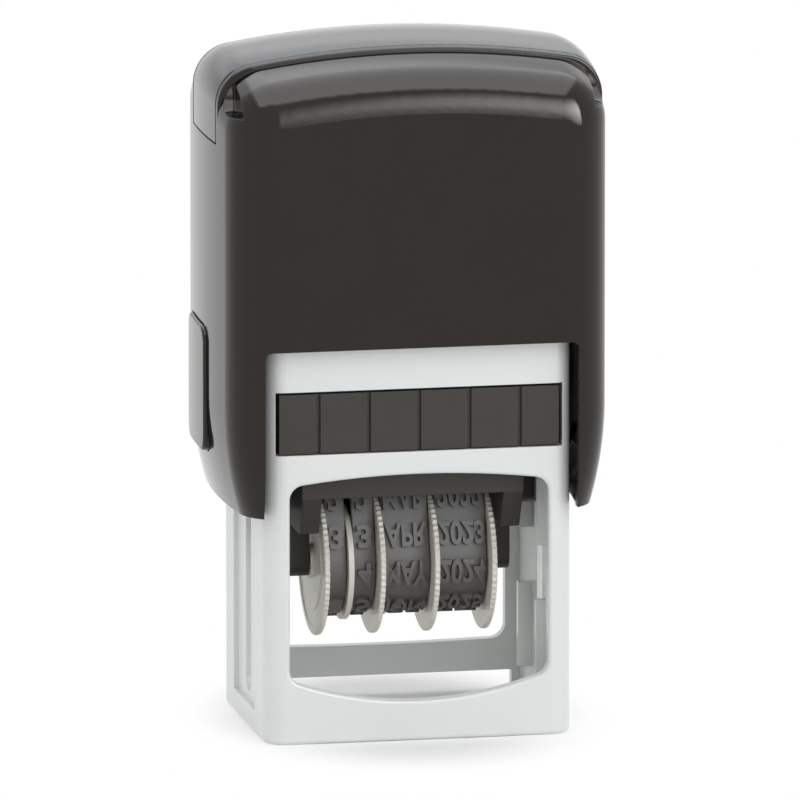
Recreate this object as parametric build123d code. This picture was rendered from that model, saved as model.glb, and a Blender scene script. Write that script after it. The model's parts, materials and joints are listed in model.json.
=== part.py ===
from build123d import *
import math
import os

# A self-inking date stamp, in millimetres. X runs across the stamp, Y from the front at -Y to the back,
# and Z up from the surface that the frame stands on. The cap is up, as the stamp rests.

# Travel of the cap, and how far the printing face stands from the axis that the holder turns on
stroke = 27.0
print_clearance = 0.1
die_reach = 6.0
flip_axis_z = print_clearance + die_reach + stroke

# Date bands from left to right: name, width, and the side of the drum that carries the finger disc
date_columns = (
    ("day_tens", 2.95, -1),
    ("day_units", 3.25, 1),
    ("month", 6.64, 1),
    ("year", 7.06, 1),
)
disc_thickness = 0.7
disc_radius = 10.0
grip_notch_radius = 0.22
grip_notch_count = 72
separator_radius = 8.0
drum_radius = 5.85
hub_radius = 2.4
side_gap = 0.12
axle_drop = 11.35
axle_radius = 1.0
running_gap = 0.05
axle_z = flip_axis_z - axle_drop
line_length = sum(width for name, width, side in date_columns) + (len(date_columns) + 1) * disc_thickness

# Rubber bands and the bar that they run over
band_thickness = 0.7
band_clearance = 0.35
character_height = 0.6
character_length = 3.2
character_margin = 0.35
character_count = 12
guide_half_depth = 2.1
guide_height = 2.6
guide_corner = 0.8
guide_top_z = flip_axis_z + die_reach - character_height - band_thickness

# Holder of the text plate and the bands
cheek_gap = 0.6
cheek_thickness = 2.6
cheek_neck_half = 2.0
cheek_neck_rise = 5.4
cheek_wide_half = 8.5
holder_end_margin = 0.1
platform_thickness = 1.4
skirt_height = 5.3
skirt_thickness = 1.2
band_opening_half_depth = 5.0
cheek_inner = line_length / 2 + cheek_gap
cheek_outer = cheek_inner + cheek_thickness
holder_half_length = cheek_outer + holder_end_margin
cheek_neck_z = axle_z + cheek_neck_rise

# Rubber text plate
plate_depth = 20.0
plate_base = 1.0
plate_relief = 0.5
plate_margin = 1.0
plate_border = 0.6
plate_border_inset = 0.4
plate_window_half_depth = 3.2
plate_window_gap = 0.2
plate_bar_height = 1.6
plate_bar_inset = 2.4
holder_half_depth = plate_depth / 2 + plate_margin
platform_top_z = flip_axis_z + die_reach - plate_base - plate_relief

# Base frame
side_room = 4.4
end_room = 2.9
frame_side_wall = 1.4
frame_end_wall = 1.6
frame_corner = 2.8
frame_rise = 7.8
base_round = 0.6
edge_round = 0.45
edge_tolerance = 0.01
inner_half_x = holder_half_length + side_room
inner_half_y = holder_half_depth + end_room
frame_half_x = inner_half_x + frame_side_wall
frame_half_y = inner_half_y + frame_end_wall

# Windows in the front and back of the frame
window_margin = 1.9
window_corner = 2.0
sill_z = 8.65
sill_sag = 3.25
lintel_height = 4.35
lintel_rise = 1.25
back_sill_z = 7.2
back_sill_sag = 0.3
back_gap_z = 2.8
back_gap_margin = 0.9

# Pad, its cassette and the slot that the cassette slides in
pad_clearance = 0.35
pad_margin = 1.0
pad_gap = 0.2
pad_proud = 0.1
cassette_roof = 1.5
cassette_side_gap = 0.5
cassette_lift = 0.15
cassette_top_gap = 0.35
cassette_front_inset = 0.3
cassette_back_gap = 0.3
slot_height = 8.55
slot_ceiling_gap = 0.25
groove_count = 5
groove_pitch = 6.8
groove_width = 0.5
groove_depth = 0.4
ledge_width = 1.8
ledge_height = 1.2
pad_face_z = flip_axis_z + die_reach + pad_clearance
cassette_bottom_z = pad_face_z - pad_proud
slot_floor_z = cassette_bottom_z - cassette_lift
slot_top_z = slot_floor_z + slot_height
pad_half_x = holder_half_length + pad_margin
pad_half_y = plate_depth / 2 + pad_margin
window_half_x = inner_half_x - window_margin
lintel_z = slot_floor_z - lintel_height

# Deck over the cassette, and the tray round the spring
deck_thickness = 1.2
deck_z = slot_top_z + slot_ceiling_gap + deck_thickness
frame_height = deck_z + frame_rise

# Stub pins, dogs, and the slots and ribs that they run in
pin_radius = 1.5
pin_seat_gap = 0.02
pin_slot_gap = 0.3
pin_stop_gap = 0.3
dog_thickness = 3.2
dog_half = 4.0
dog_corner = 1.9
dog_swing = 0.95
dog_gap = 0.7
rib_depth = 1.8
rib_thickness = 1.2
rib_gap = 0.5
rib_low_z = 5.0
rib_break_low_z = 16.5
rib_break_high_z = 24.0

# Yoke between the cap and the pins
channel_depth = 0.6
channel_half = 7.5
channel_foot_gap = 0.3
yoke_half_depth = 7.0
yoke_gap = 0.3
yoke_thickness = 1.2
yoke_bridge = 2.0
yoke_bridge_gap = 0.8
yoke_foot = 2.6
yoke_corner = 3.5
yoke_inner = frame_half_x - channel_depth + yoke_gap
yoke_outer = yoke_inner + yoke_thickness
yoke_foot_z = flip_axis_z - yoke_foot
channel_foot_z = yoke_foot_z - stroke - channel_foot_gap
bridge_z = frame_height + stroke + yoke_bridge_gap
yoke_top_z = bridge_z + yoke_bridge

# Return spring
spring_radius = 6.0
spring_wire = 0.8
post_clearance = 0.4
frame_post_height = 3.1
yoke_post_height = 5.0
post_radius = spring_radius - spring_wire - post_clearance

# Cap
cap_side_reach = 5.55
cap_side_wall = 2.0
side_bow = 118.0
side_reach = 15.0
cap_end_wall = 1.8
cap_slide_gap = 0.4
cap_ground_gap = 4.0
cap_panel_rise = 5.85
cap_cut_gap = 0.4
cap_cut_corner = 1.0
cap_round = 6.0
crown_radius = 130.0
crown_reach = 30.0
shoulder_bow = 45.0
shoulder_margin = 1.0
ceiling_corner = 8.5
ceiling_round = 1.6
leg_curve_radius = 50.0
leg_curve_height = 14.0
ceiling_gap = 2.6
roof_wall = 1.65
cap_rib_offset = 13.0
cap_rib_width = 3.0
cap_half_x = frame_half_x + cap_side_reach
shoulder_radius = cap_round + shoulder_margin
cap_half_y = frame_half_y + cap_slide_gap + cap_end_wall
cap_foot_z = stroke + cap_ground_gap
cap_panel_z = slot_top_z + cap_panel_rise
ceiling_z = yoke_top_z + ceiling_gap

# Clear strap over the top of the cap
strap_half_depth = 8.0
strap_thickness = 2.0
strap_leg_thickness = 1.2
strap_gap = 0.25
strap_bow = 50.0
strap_corner = 5.5
strap_drop = 12.9
strap_edge_round = 0.4
seat_crown_z = ceiling_z + roof_wall
strap_crown_z = seat_crown_z + strap_gap + strap_thickness
strap_foot_z = strap_crown_z - strap_drop

# Rim of the cap round the strap, a step above the shoulders, and the notches beside it at the shoulders' ends
rim_width = 0.9
rim_round = 0.3
shoulder_step = 0.5
notch_depth = 2.65
notch_drop = 8.5
notch_bend = 3.5
rim_half_depth = strap_half_depth + strap_gap + rim_width
rim_edge_z = strap_crown_z - strap_bow + math.sqrt(strap_bow**2 - rim_half_depth**2)
shoulder_edge_z = rim_edge_z - shoulder_step
shoulder_crown_z = shoulder_edge_z + shoulder_bow - math.sqrt(shoulder_bow**2 - rim_half_depth**2)
notch_x = cap_half_x - notch_depth
notch_floor_z = strap_crown_z - notch_drop

# Lock buttons in the cap's sides
button_front_y = -2.8
button_depth = 13.8
button_rise = 6.2
button_height = 17.4
button_corner = 2.5
button_gap = 0.2
button_proud = 0.45
button_edge = 0.4
button_lip = 0.7
button_lip_thickness = 0.4
button_travel = 0.9
button_inner = yoke_outer + button_travel + button_gap
button_low_z = cap_foot_z + button_rise


def block(x_low, x_high, y_low, y_high, z_low, z_high):
    """A block between two opposite corners."""
    centre = Pos((x_low + x_high) / 2, (y_low + y_high) / 2, (z_low + z_high) / 2)
    return centre * Box(x_high - x_low, y_high - y_low, z_high - z_low)


def slab(half_x, half_y, z_low, z_high):
    """A block centred on the upright middle line of the stamp."""
    return block(-half_x, half_x, -half_y, half_y, z_low, z_high)


def rod(x_low, x_high, z, radius):
    """A round rod along X, on the middle plane of the stamp."""
    return Pos((x_low + x_high) / 2, 0, z) * Rot(0, 90, 0) * Cylinder(radius, x_high - x_low)


def across(sketch, x_low, x_high):
    """A sketch of Y and Z, drawn out along X."""
    return extrude(Plane.YZ.offset(x_low) * sketch, x_high - x_low)


def through(sketch, half_depth):
    """A sketch of X and Z, drawn out along Y to both sides of the middle plane."""
    return extrude(Plane.XZ * sketch, half_depth, both=True)


def edges_at(shape, axis, place):
    """The edges of a shape that lie at one place along an axis."""
    return shape.edges().filter_by_position(axis, place - edge_tolerance, place + edge_tolerance)


def mirrored(shape):
    """The same piece on the other side of the stamp."""
    return mirror(shape, about=Plane.YZ)


def save(node, shape):
    """Writes one piece to its own file."""
    export_step(shape, os.path.join("parts", node + ".step"))
    print(node, round(shape.volume, 2))


def column_places():
    """Where each band and each disc begins along X, and where the separator stands."""
    cursor = -line_length / 2
    bands, discs, separator = {}, {}, None
    for name, width, side in date_columns:
        if side < 0:
            discs[name] = cursor
            bands[name] = cursor + disc_thickness
            separator = bands[name] + width
            cursor = separator + disc_thickness
        else:
            bands[name] = cursor
            discs[name] = cursor + width
            cursor = discs[name] + disc_thickness
    return bands, discs, separator


band_start, disc_start, separator_start = column_places()


def loop_edges(offset):
    """The closed line of a band in Y and Z, a given distance outside its inner face."""
    low_radius = drum_radius + band_clearance + offset
    top_radius = guide_corner + offset
    top_y = guide_half_depth - guide_corner
    top_z = guide_top_z - guide_corner
    rise = top_z - axle_z
    lean = math.atan2(rise, top_y) - math.acos((low_radius - top_radius) / math.hypot(rise, top_y))
    bend = (lean + math.pi / 2) / 2
    peak = (top_y, top_z + top_radius)
    middle = (top_y + top_radius * math.cos(bend), top_z + top_radius * math.sin(bend))
    upper = (top_y + top_radius * math.cos(lean), top_z + top_radius * math.sin(lean))
    lower = (low_radius * math.cos(lean), axle_z + low_radius * math.sin(lean))
    left_peak, left_middle = (-peak[0], peak[1]), (-middle[0], middle[1])
    left_upper, left_lower = (-upper[0], upper[1]), (-lower[0], lower[1])
    return [
        Line((0, peak[1]), left_peak),
        ThreePointArc(left_peak, left_middle, left_upper),
        Line(left_upper, left_lower),
        ThreePointArc(left_lower, (0, axle_z - low_radius), lower),
        Line(lower, upper),
        ThreePointArc(upper, middle, peak),
        Line(peak, (0, peak[1])),
    ]


def make_band(name, width):
    """A rubber band with a raised block for each character."""
    low_x = band_start[name] + side_gap
    high_x = band_start[name] + width - side_gap
    band = across(make_face(loop_edges(band_thickness)), low_x, high_x)
    band -= across(make_face(loop_edges(0)), low_x, high_x)
    line = Wire(loop_edges(band_thickness))
    height = character_height + band_thickness / 2
    rubber_block = Box(high_x - low_x - 2 * character_margin, character_length, height)
    for step in range(character_count):
        place = line.position_at(step / character_count)
        tangent = line.tangent_at(step / character_count)
        turn = math.degrees(math.atan2(-tangent.Y, -tangent.X))
        lift = (character_height - band_thickness / 2) / 2
        seat = Pos((low_x + high_x) / 2, place.X, place.Y) * Rot(turn, 0, 0)
        band += seat * Pos(0, 0, lift) * rubber_block
    return band


def make_wheel(name, width, side):
    """A drum with its notched finger disc, bored for the axle."""
    rim = Circle(disc_radius) - PolarLocations(disc_radius, grip_notch_count) * Circle(grip_notch_radius)
    wheel = across(rim, disc_start[name], disc_start[name] + disc_thickness)
    if side < 0:
        drum_low = disc_start[name]
        drum_high = band_start[name] + width - side_gap
    else:
        drum_low = band_start[name] + side_gap
        drum_high = disc_start[name] + disc_thickness
    wheel += across(Circle(drum_radius), drum_low, drum_high)
    if name == date_columns[0][0]:
        wheel += across(Circle(hub_radius), side_gap - cheek_inner, drum_low)
    if name == date_columns[-1][0]:
        wheel += across(Circle(hub_radius), drum_high, cheek_inner - side_gap)
    wheel -= across(Circle(axle_radius + running_gap), -cheek_outer, cheek_outer)
    return Pos(0, 0, axle_z) * wheel


def make_separator():
    """The plain disc between the two day bands, tight on the axle."""
    disc = across(Circle(separator_radius), separator_start, separator_start + disc_thickness)
    disc -= across(Circle(axle_radius + pin_seat_gap), -cheek_outer, cheek_outer)
    return Pos(0, 0, axle_z) * disc


def make_axle():
    """The steel axle of the wheels, held in the two cheeks."""
    return rod(-cheek_outer, cheek_outer, axle_z, axle_radius)


def make_guide():
    """The bar that the bands run over under the printing line."""
    section = Pos(0, guide_top_z - guide_height / 2) * Rectangle(2 * guide_half_depth, guide_height)
    section = fillet(section.vertices().sort_by(Axis.Y)[-2:], guide_corner)
    return across(section, -cheek_inner, cheek_inner)


def make_holder():
    """The platform of the text plate, its skirts, and the two cheeks that carry pins and axle."""
    skirt_z = platform_top_z - skirt_height
    holder = slab(holder_half_length, holder_half_depth, skirt_z, platform_top_z)
    inner_y = holder_half_depth - skirt_thickness
    holder -= slab(cheek_inner, inner_y, skirt_z, platform_top_z - platform_thickness)
    holder -= slab(cheek_inner, band_opening_half_depth, skirt_z, platform_top_z)
    profile = make_face(
        [
            Polyline(
                (cheek_neck_half, axle_z),
                (cheek_neck_half, cheek_neck_z),
                (cheek_wide_half, cheek_neck_z),
                (holder_half_depth, skirt_z),
                (-holder_half_depth, skirt_z),
                (-cheek_wide_half, cheek_neck_z),
                (-cheek_neck_half, cheek_neck_z),
                (-cheek_neck_half, axle_z),
            ),
            ThreePointArc(
                (-cheek_neck_half, axle_z), (0, axle_z - cheek_neck_half), (cheek_neck_half, axle_z)
            ),
        ]
    )
    holder += across(profile, cheek_inner, cheek_outer)
    holder += across(profile, -cheek_outer, -cheek_inner)
    holder -= rod(-holder_half_length, holder_half_length, axle_z, axle_radius + pin_seat_gap)
    holder -= rod(cheek_inner, holder_half_length, flip_axis_z, pin_radius + pin_seat_gap)
    holder -= rod(-holder_half_length, -cheek_inner, flip_axis_z, pin_radius + pin_seat_gap)
    return holder


def make_text_plate():
    """The rubber plate: a thin base, a raised border and plain raised bars above and below the date."""
    base_z = platform_top_z
    relief_z = base_z + plate_base
    top_z = relief_z + plate_relief
    half_x, half_y = holder_half_length, plate_depth / 2
    plate = slab(half_x, half_y, base_z, relief_z)
    outer_x, outer_y = half_x - plate_border_inset, half_y - plate_border_inset
    inner_x, inner_y = outer_x - plate_border, outer_y - plate_border
    border = slab(outer_x, outer_y, relief_z, top_z)
    plate += border - slab(inner_x, inner_y, relief_z, top_z)
    bar_y = inner_y - plate_bar_height
    for side in (-1, 1):
        bar_x = inner_x - plate_bar_inset
        low_y = side * bar_y - plate_bar_height / 2
        high_y = side * bar_y + plate_bar_height / 2
        plate += block(-bar_x, bar_x, low_y, high_y, relief_z, top_z)
    window_x = cheek_inner + plate_window_gap
    plate -= slab(window_x, plate_window_half_depth, base_z, top_z)
    return plate


def make_pin():
    """The right stub pin, from the holder's cheek out to the yoke."""
    return rod(cheek_inner, yoke_outer, flip_axis_z, pin_radius)


def make_dog():
    """The right dog on its pin, which stays between the ribs of the frame."""
    outer_x = inner_half_x - dog_gap
    plate = Pos(0, flip_axis_z) * RectangleRounded(2 * dog_half, 2 * dog_half, dog_corner)
    dog = across(plate, outer_x - dog_thickness, outer_x)
    return dog - rod(outer_x - dog_thickness, outer_x, flip_axis_z, pin_radius + pin_seat_gap)


def window_face(half_width, low_z, high_z, sag, rise):
    """A window outline in X and Z, its corners rounded, with a sagging sill and a rising top."""
    low_left, low_right = (-half_width, low_z), (half_width, low_z)
    high_left, high_right = (-half_width, high_z), (half_width, high_z)
    outline = make_face(
        [
            ThreePointArc(low_left, (0, low_z - sag), low_right),
            Line(low_right, high_right),
            ThreePointArc(high_right, (0, high_z + rise), high_left),
            Line(high_left, low_left),
        ]
    )
    return fillet(outline.vertices(), window_corner)


def make_frame():
    """The base frame: one moulding with windows, pad slot, pin slots, ribs and a deck for the spring."""
    body = extrude(RectangleRounded(2 * frame_half_x, 2 * frame_half_y, frame_corner), frame_height)
    body = fillet(edges_at(body, Axis.Z, 0), base_round)

    ceiling = slot_top_z + slot_ceiling_gap
    body -= slab(inner_half_x, inner_half_y, 0, ceiling)
    body -= slab(inner_half_x, inner_half_y, deck_z, frame_height)
    body += Pos(0, 0, deck_z + frame_post_height / 2) * Cylinder(post_radius, frame_post_height)

    rib_y = dog_half + dog_swing + rib_gap
    ledge_z = slot_floor_z - ledge_height
    for side in (-1, 1):
        wall = side * inner_half_x
        x_low, x_high = sorted((wall, wall - side * ledge_width))
        body += block(x_low, x_high, -inner_half_y, inner_half_y, ledge_z, slot_floor_z)
        x_low, x_high = sorted((wall, wall - side * rib_depth))
        for y_side in (-1, 1):
            y_low, y_high = sorted((y_side * rib_y, y_side * (rib_y + rib_thickness)))
            body += block(x_low, x_high, y_low, y_high, rib_low_z, rib_break_low_z)
            body += block(x_low, x_high, y_low, y_high, rib_break_high_z, ledge_z)

    front = window_face(window_half_x, sill_z, lintel_z, sill_sag, lintel_rise)
    back = window_face(window_half_x, back_sill_z, lintel_z, back_sill_sag, lintel_rise)
    body -= extrude(Plane.XZ * front, frame_half_y)
    body -= extrude(Plane.XZ * back, -frame_half_y)
    window_edges = [
        edge
        for edge in edges_at(body, Axis.Y, -frame_half_y)
        if abs(edge.center().X) < window_half_x + edge_round
        and base_round < edge.center().Z < lintel_z + lintel_rise + edge_round
    ]
    body = fillet(window_edges, edge_round)
    gap_x = window_half_x + back_gap_margin
    body -= block(-gap_x, gap_x, inner_half_y, frame_half_y, 0, back_gap_z)
    body -= block(-inner_half_x, inner_half_x, -frame_half_y, -inner_half_y, slot_floor_z, slot_top_z)

    slot_half = pin_radius + pin_slot_gap
    slot_low = flip_axis_z - stroke - pin_radius - pin_stop_gap
    slot_high = flip_axis_z + pin_radius + pin_stop_gap
    slot = Rot(0, 0, 90) * SlotOverall(slot_high - slot_low, 2 * slot_half)
    slot = Pos(0, (slot_low + slot_high) / 2) * slot
    body -= across(slot, -frame_half_x, frame_half_x)
    floor_x = frame_half_x - channel_depth
    body -= block(floor_x, frame_half_x, -channel_half, channel_half, channel_foot_z, frame_height)
    body -= block(-frame_half_x, -floor_x, -channel_half, channel_half, channel_foot_z, frame_height)
    return body


def make_cassette():
    """The pad drawer: a tray open below, with upright grooves across its front."""
    half_x = inner_half_x - cassette_side_gap
    front_y = -frame_half_y + cassette_front_inset
    top_z = slot_top_z - cassette_top_gap
    tray = block(-half_x, half_x, front_y, inner_half_y - cassette_back_gap, cassette_bottom_z, top_z)
    hollow_x, hollow_y = pad_half_x + pad_gap, pad_half_y + pad_gap
    tray -= slab(hollow_x, hollow_y, cassette_bottom_z, top_z - cassette_roof)
    for step in range(groove_count):
        centre = (step - (groove_count - 1) / 2) * groove_pitch
        x_low, x_high = centre - groove_width / 2, centre + groove_width / 2
        tray -= block(x_low, x_high, front_y, front_y + groove_depth, cassette_bottom_z, top_z)
    return tray


def make_pad():
    """The felt ink pad, held in the tray with its face down."""
    top_z = slot_top_z - cassette_top_gap - cassette_roof
    return slab(pad_half_x, pad_half_y, pad_face_z, top_z)


def make_yoke():
    """The stirrup: a bridge under the cap's roof and two legs down the sides of the frame."""
    outline = Pos(0, (yoke_foot_z + yoke_top_z) / 2) * Rectangle(2 * yoke_outer, yoke_top_z - yoke_foot_z)
    outline = fillet(outline.vertices().sort_by(Axis.Y)[-2:], yoke_corner)
    yoke = through(outline, yoke_half_depth)
    yoke -= slab(yoke_inner, yoke_half_depth, yoke_foot_z, bridge_z)
    yoke += Pos(0, 0, bridge_z - yoke_post_height / 2) * Cylinder(post_radius, yoke_post_height)
    return yoke - rod(-yoke_outer, yoke_outer, flip_axis_z, pin_radius + running_gap)


def make_spring():
    """The space of the return spring, as one sleeve between the deck and the yoke's bridge."""
    sleeve = Circle(spring_radius) - Circle(spring_radius - spring_wire)
    return extrude(Plane.XY.offset(deck_z) * sleeve, bridge_z - deck_z)


def bowed(right_half, half_y):
    """The right half of an outline of X and Z, swept along Y with a slight bow, and its mirror image."""
    post = Axis((cap_half_x - side_bow, 0, 0), (0, 0, 1))
    right = revolve(Plane.XZ * right_half, post, 2 * side_reach).rotate(post, -side_reach)
    right &= slab(2 * cap_half_x, half_y, 0, 2 * yoke_top_z)
    return right + mirrored(right)


def crowned(right_half, half_x, half_y, crown_z, bow, corner):
    """A bowed outline of X and Z, its top crowned both ways and rounded towards the sides."""
    base_z = crown_z - crown_radius + half_x / math.sin(math.radians(crown_reach)) + corner
    edge_z = crown_z - bow + math.sqrt(bow**2 - half_y**2)
    profile = make_face(
        [
            ThreePointArc((-half_y, edge_z), (0, crown_z), (half_y, edge_z)),
            Polyline((half_y, edge_z), (half_y, base_z), (-half_y, base_z), (-half_y, edge_z)),
        ]
    )
    turning_line = Axis((0, 0, crown_z - crown_radius), (0, 1, 0))
    roof = revolve(Plane.YZ * profile, turning_line, 2 * crown_reach)
    roof = roof.rotate(turning_line, -crown_reach)
    solid = bowed(right_half, half_y) & roof
    ridges = []
    for side in (-1, 1):
        ridges += edges_at(edges_at(solid, Axis.Y, 0), Axis.X, side * half_x).sort_by(Axis.Z)[-1:]
    return fillet(ridges, corner)


def leg_face(half_x, inset, high_z):
    """The right half of the cap's outline in X and Z, its side curved inwards towards the foot."""
    start_z = cap_foot_z + leg_curve_height
    radius = leg_curve_radius - inset
    centre_x = half_x - radius
    foot_x = centre_x + math.sqrt(radius**2 - leg_curve_height**2)
    bend = math.asin(leg_curve_height / radius) / 2
    bend_x, bend_z = centre_x + radius * math.cos(bend), start_z - radius * math.sin(bend)
    return make_face(
        [
            ThreePointArc((foot_x, cap_foot_z), (bend_x, bend_z), (half_x, start_z)),
            Polyline((half_x, start_z), (half_x, high_z), (0, high_z), (0, cap_foot_z), (foot_x, cap_foot_z)),
        ]
    )


def rounded_ends(solid, half_y, foot_z, radius):
    """A solid with the edges of its front and back faces rounded, apart from the edges along its foot."""
    for side in (-1, 1):
        outline = edges_at(solid, Axis.Y, side * half_y)
        outline = [edge for edge in outline if edge.center().Z > foot_z + edge_tolerance]
        solid = fillet(outline, radius)
    return solid


def hood(inset, crown_z, half_y, corner):
    """A solid hood: sides curved in towards the foot, under a roof that is crowned both ways."""
    half_x = cap_half_x - inset
    outline = leg_face(half_x, inset, crown_z + corner)
    return crowned(outline, half_x, half_y, crown_z, shoulder_bow, corner)


def bridge(side_inset, top_inset, half_y, low_z):
    """A solid that lies inside the strap's outer faces by two insets, down to a height."""
    half_x = cap_half_x - side_inset
    crown_z = strap_crown_z - top_inset
    high_z = crown_z + strap_corner
    outline = Pos(half_x / 2, (low_z + high_z) / 2) * Rectangle(half_x, high_z - low_z)
    return crowned(outline, half_x, half_y, crown_z, strap_bow - top_inset, strap_corner - top_inset)


def notched(shoulders):
    """The shoulders with a notch at each end, upright beside the rim and level further out."""
    for side in (-1, 1):
        high_z = strap_crown_z + notch_bend
        low_y, high_y = sorted((side * rim_half_depth, side * 2 * cap_half_y))
        notch = block(notch_x, 2 * cap_half_x, low_y, high_y, notch_floor_z, high_z)
        inner_edge = edges_at(edges_at(notch, Axis.Y, side * rim_half_depth), Axis.Z, notch_floor_z)
        notch = fillet(inner_edge, notch_bend)
        shoulders -= notch
        shoulders -= mirrored(notch)
    return shoulders


def make_cap():
    """The outer cap: a thin hood with round edges, cut away over the frame's front and back."""
    cap = hood(0, shoulder_crown_z, cap_half_y, shoulder_radius)
    cap = notched(rounded_ends(cap, cap_half_y, cap_foot_z, cap_round))
    seat_foot_z = strap_foot_z - strap_gap
    cap += rounded_ends(bridge(0, 0, rim_half_depth, seat_foot_z), rim_half_depth, seat_foot_z, rim_round)
    inner_half_depth = cap_half_y - cap_end_wall
    hollow = hood(cap_side_wall, ceiling_z, inner_half_depth, ceiling_corner)
    cap -= rounded_ends(hollow, inner_half_depth, cap_foot_z, ceiling_round)

    cut_x = frame_half_x + cap_cut_gap
    cut = Pos(0, (cap_foot_z + cap_panel_z) / 2) * Rectangle(2 * cut_x, cap_panel_z - cap_foot_z)
    cut = fillet(cut.vertices().sort_by(Axis.Y)[-2:], cap_cut_corner)
    cap -= through(cut, cap_half_y)

    seat_half_y = strap_half_depth + strap_gap
    around = slab(cap_half_x + strap_gap, seat_half_y, seat_foot_z, strap_crown_z + strap_gap)
    side_depth, top_depth = strap_leg_thickness + strap_gap, strap_thickness + strap_gap
    cap -= around - bridge(side_depth, top_depth, seat_half_y, seat_foot_z)

    rib_limit = hood(cap_side_wall / 2, ceiling_z + roof_wall / 2, inner_half_depth, ceiling_corner)
    for side in (-1, 1):
        rib = slab(cap_rib_width / 2, yoke_half_depth, yoke_top_z, seat_crown_z)
        cap += (Pos(side * cap_rib_offset, 0, 0) * rib) & rib_limit

    opening = button_face(0)
    cap -= across(opening, yoke_outer, cap_half_x)
    cap -= across(opening, -cap_half_x, -yoke_outer)
    return cap


def make_strap():
    """The clear strap: a crowned shell over the top with a leg down each side."""
    outer = bridge(0, 0, strap_half_depth, strap_foot_z)
    outer = rounded_ends(outer, strap_half_depth, strap_foot_z, strap_edge_round)
    return outer - bridge(strap_leg_thickness, strap_thickness, strap_half_depth, strap_foot_z)


def button_face(inset):
    """The outline of a lock button in Y and Z, smaller by the inset all round."""
    centre = Pos(button_front_y + button_depth / 2, button_low_z + button_height / 2)
    depth, height = button_depth - 2 * inset, button_height - 2 * inset
    return centre * RectangleRounded(depth, height, button_corner - inset)


def make_button():
    """The right lock button: a block in the cap's opening, with a lip behind the wall."""
    outer_x = cap_half_x + button_proud
    button = across(button_face(button_gap), button_inner, outer_x)
    high_z = button_low_z + button_height
    front = Pos(outer_x / 2, high_z / 2) * Rectangle(outer_x, high_z)
    button &= bowed(front, cap_half_y)
    button = fillet(button.faces().sort_by(Axis.X)[-1].edges(), button_edge)
    return button + across(button_face(-button_lip), button_inner, button_inner + button_lip_thickness)


os.makedirs("parts", exist_ok=True)

save("frame", make_frame())
save("pad_cassette", make_cassette())
save("ink_pad", make_pad())
save("return_spring", make_spring())
save("cap", make_cap())
save("yoke", make_yoke())
save("index_window", make_strap())
save("lock_button_right", make_button())
save("lock_button_left", mirrored(make_button()))
save("date_holder", make_holder())
save("text_plate", make_text_plate())
save("band_guide", make_guide())
save("wheel_axle", make_axle())
save("separator_disc", make_separator())
save("flip_pin_right", make_pin())
save("flip_pin_left", mirrored(make_pin()))
save("flip_cam_right", make_dog())
save("flip_cam_left", mirrored(make_dog()))
for column, column_width, disc_side in date_columns:
    save(column + "_wheel", make_wheel(column, column_width, disc_side))
    save(column + "_band", make_band(column, column_width))
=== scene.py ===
# %% [markdown]
# # A self-inking date stamp
#
# The stamp stands upright on its light grey frame. A glossy black cap slides down over the frame, and on
# the way it turns a holder with four date wheels from the ink pad to the paper. Every part exists already
# as a measured solid. This lesson gives the solids their finishes, and builds the pieces that a plain
# solid draws too simply: rubber bands with raised figures, knurled finger wheels, a wound spring, a felt
# pad and the rubber text plate.

# %% Load the measured parts
import json
import math

import bmesh
import bpy
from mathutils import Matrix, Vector, noise


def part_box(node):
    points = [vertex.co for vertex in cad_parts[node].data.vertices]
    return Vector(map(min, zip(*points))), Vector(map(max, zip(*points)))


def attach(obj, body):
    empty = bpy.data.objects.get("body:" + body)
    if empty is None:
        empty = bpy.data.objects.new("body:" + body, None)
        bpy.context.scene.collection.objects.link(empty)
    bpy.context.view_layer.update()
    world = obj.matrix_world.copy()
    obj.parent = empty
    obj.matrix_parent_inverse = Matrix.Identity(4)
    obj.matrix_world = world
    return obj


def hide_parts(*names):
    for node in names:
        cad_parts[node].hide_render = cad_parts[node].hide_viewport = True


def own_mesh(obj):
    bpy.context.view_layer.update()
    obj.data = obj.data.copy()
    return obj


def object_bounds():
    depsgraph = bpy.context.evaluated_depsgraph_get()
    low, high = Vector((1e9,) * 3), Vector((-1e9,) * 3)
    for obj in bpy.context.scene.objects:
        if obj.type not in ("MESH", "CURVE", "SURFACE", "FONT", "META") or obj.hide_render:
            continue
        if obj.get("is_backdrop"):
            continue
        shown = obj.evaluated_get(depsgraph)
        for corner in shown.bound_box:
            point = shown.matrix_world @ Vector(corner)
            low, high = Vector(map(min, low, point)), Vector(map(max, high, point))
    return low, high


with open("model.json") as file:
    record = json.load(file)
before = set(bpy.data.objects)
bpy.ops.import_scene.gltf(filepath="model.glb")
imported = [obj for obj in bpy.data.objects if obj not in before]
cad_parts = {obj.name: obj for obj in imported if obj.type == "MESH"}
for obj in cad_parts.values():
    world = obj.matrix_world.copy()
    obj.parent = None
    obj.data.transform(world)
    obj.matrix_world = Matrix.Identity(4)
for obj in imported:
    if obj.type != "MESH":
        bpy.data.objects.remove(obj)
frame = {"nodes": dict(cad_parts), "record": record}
solid_low, solid_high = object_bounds()
MM = 0.001
scene = bpy.context.scene
print("parts:", len(frame["nodes"]), "height in mm:", round((solid_high.z - solid_low.z) / MM, 1))

# %% [markdown]
# ## Colours and nodes
#
# Colours are written as sRGB hex values, as a paint shop would give them. A shader works with linear
# light, so one function turns them. Another adds a node, sets its values and links its inputs, because a
# finish is easier to read as a list of nodes than as a page of separate calls. Three more stand for what
# most finishes share: lumps of a real size, a colour between two, and the shader at the end.

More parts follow.
